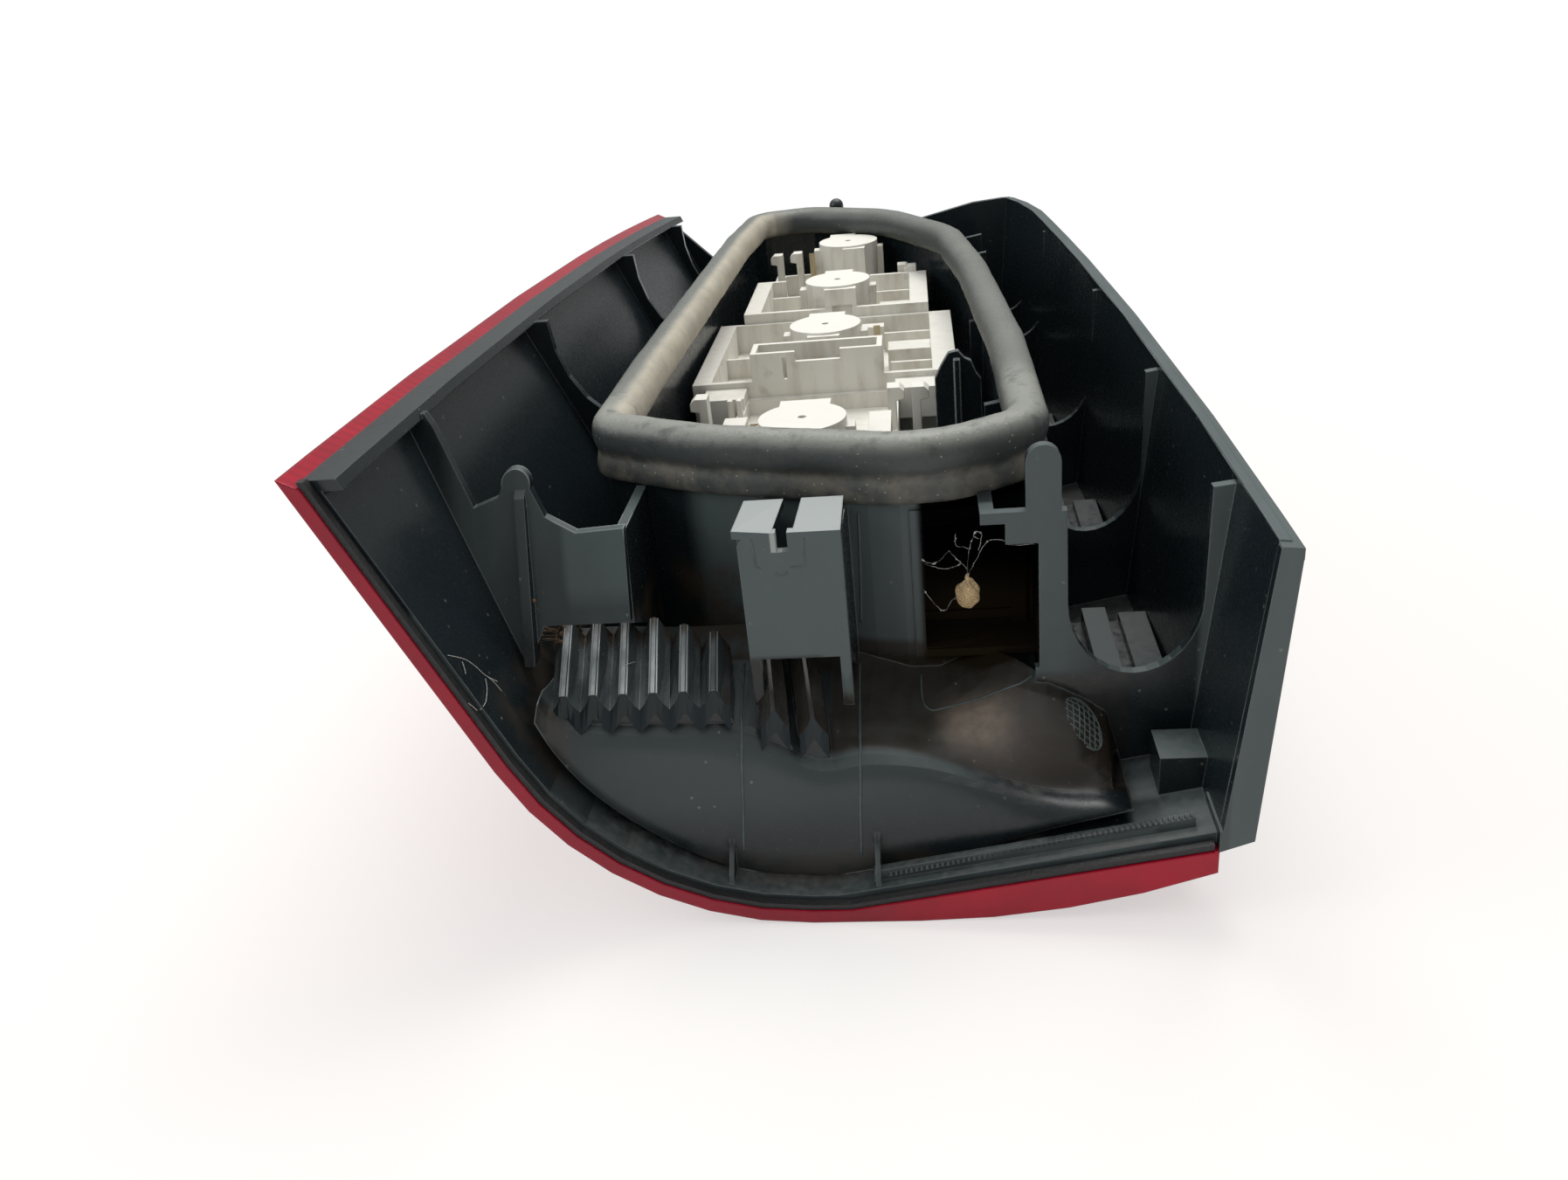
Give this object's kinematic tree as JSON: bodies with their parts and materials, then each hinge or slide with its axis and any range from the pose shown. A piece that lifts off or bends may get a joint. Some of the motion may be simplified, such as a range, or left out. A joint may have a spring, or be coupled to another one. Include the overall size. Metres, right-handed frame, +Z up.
{
  "type": "tail light cluster",
  "caption": "Car tail light cluster with a moulded housing, wrap-round lens, seal, reflector and a bulb carrier.",
  "frame": {"origin": "centre of the bounding box at the height of the surface that the lens lies on", "axes": "+X across the lamp to the right as pictured, +Y along the lamp from the near end to the far end, +Z up from the lens to the car body side"},
  "size_m": [0.218, 0.41, 0.1258],
  "materials": {
    "housing": "moulded ABS, satin to gloss, dusty",
    "lens": "clear red acrylic, polished outside",
    "lens_bead": "adhesive bead",
    "reflex_panel": "ribbed reflex insert",
    "reflector": "metallised plastic",
    "gasket": "foam rubber, dusty",
    "bulb_carrier": "ivory moulding, soiled",
    "contacts": "tinned brass strip",
    "bulb_glass": "clear bulb glass",
    "bulb_base": "nickel-plated brass cap",
    "locating_pin": "black moulded pin",
    "nut": "spring steel push-on nut"
  },
  "bodies": {
    "root": {"housing": "housing", "lens": "lens", "lens_bead": "lens_bead", "reflex_panel": "reflex_panel", "reflector": "reflector", "gasket": "gasket", "bulb_carrier": "bulb_carrier", "connector_pins": "contacts", "contact_strip_1": "contacts", "contact_strip_2": "contacts", "contact_strip_3": "contacts", "contact_strip_4": "contacts", "bulb_glass_1": "bulb_glass", "bulb_glass_2": "bulb_glass", "bulb_glass_3": "bulb_glass", "bulb_glass_4": "bulb_glass", "bulb_base_1": "bulb_base", "bulb_base_2": "bulb_base", "bulb_base_3": "bulb_base", "bulb_base_4": "bulb_base", "locating_pin": "locating_pin", "locating_pin_nut": "nut"}
  },
  "joints": []
}
